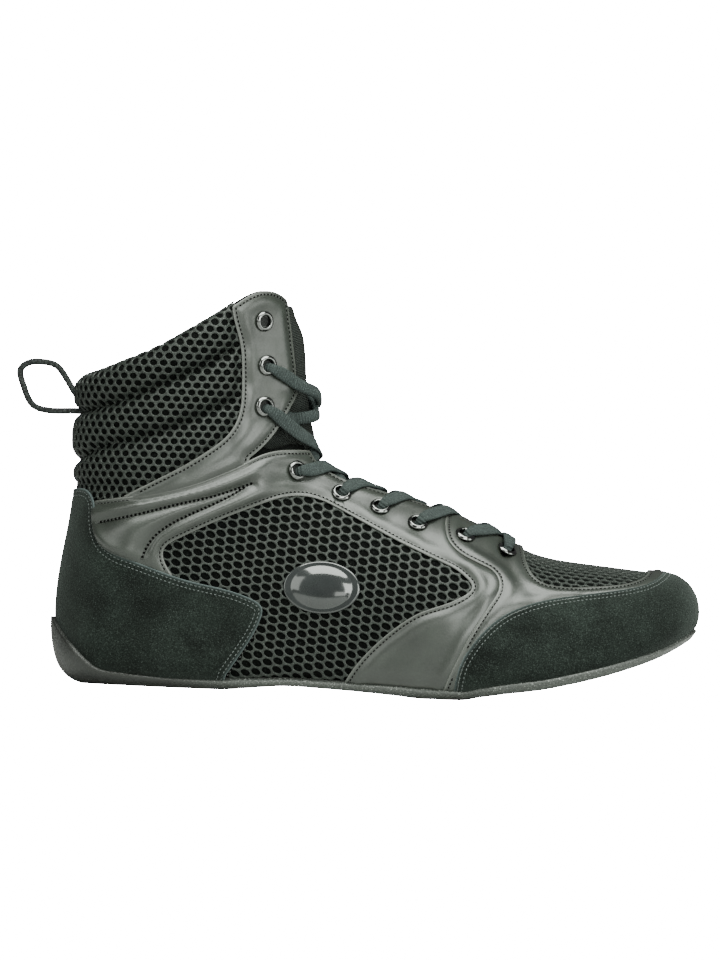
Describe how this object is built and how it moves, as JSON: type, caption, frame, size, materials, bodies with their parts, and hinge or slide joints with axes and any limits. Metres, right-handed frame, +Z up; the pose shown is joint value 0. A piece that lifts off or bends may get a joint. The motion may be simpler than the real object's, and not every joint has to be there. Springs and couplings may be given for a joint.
{
  "type": "wrestling shoe",
  "caption": "High-top wrestling shoe with mesh upper, suede toe and heel, split ankle flaps, front lacing, heel pull loop and thin flat rubber sole.",
  "frame": {"origin": "middle of the flat spot under the heel, on the sole's ground face", "axes": "+X towards the toe, +Z up from the ground, -Y towards the outer (lateral) side of the right foot"},
  "size_m": [0.3071, 0.0982, 0.1772],
  "materials": {
    "suede": "napped dark green-grey suede",
    "leather": "smooth semi-matte synthetic leather",
    "mesh": "honeycomb mesh over foam",
    "rubber": "matte moulded rubber",
    "metal": "black nickel",
    "lace": "flat woven lace",
    "webbing": "woven webbing",
    "gloss": "glossy padded patch",
    "foam": "fabric-covered foam"
  },
  "bodies": {
    "root": {"upper": "mesh", "outsole": "rubber", "insole": "foam", "tongue": "mesh", "heel_counter": "suede", "toe_cap": "suede", "vamp_facing": "leather", "quarter_outer": "leather", "quarter_inner": "leather", "ankle_flap_outer": "leather", "ankle_flap_inner": "leather", "side_badge": "gloss", "pull_loop": "webbing", "lace_bar": "lace", "lace_cross_1": "lace", "lace_cross_2": "lace", "lace_cross_3": "lace", "lace_cross_4": "lace", "lace_cross_5": "lace", "lace_cross_6": "lace", "lace_cross_7": "lace", "eyelet_outer_1": "metal", "eyelet_outer_2": "metal", "eyelet_outer_3": "metal", "eyelet_outer_4": "metal", "eyelet_outer_5": "metal", "eyelet_outer_6": "metal", "eyelet_outer_7": "metal", "eyelet_outer_8": "metal", "eyelet_outer_9": "metal", "eyelet_inner_1": "metal", "eyelet_inner_2": "metal", "eyelet_inner_3": "metal", "eyelet_inner_4": "metal", "eyelet_inner_5": "metal", "eyelet_inner_6": "metal", "eyelet_inner_7": "metal", "eyelet_inner_8": "metal", "eyelet_inner_9": "metal"}
  },
  "joints": []
}
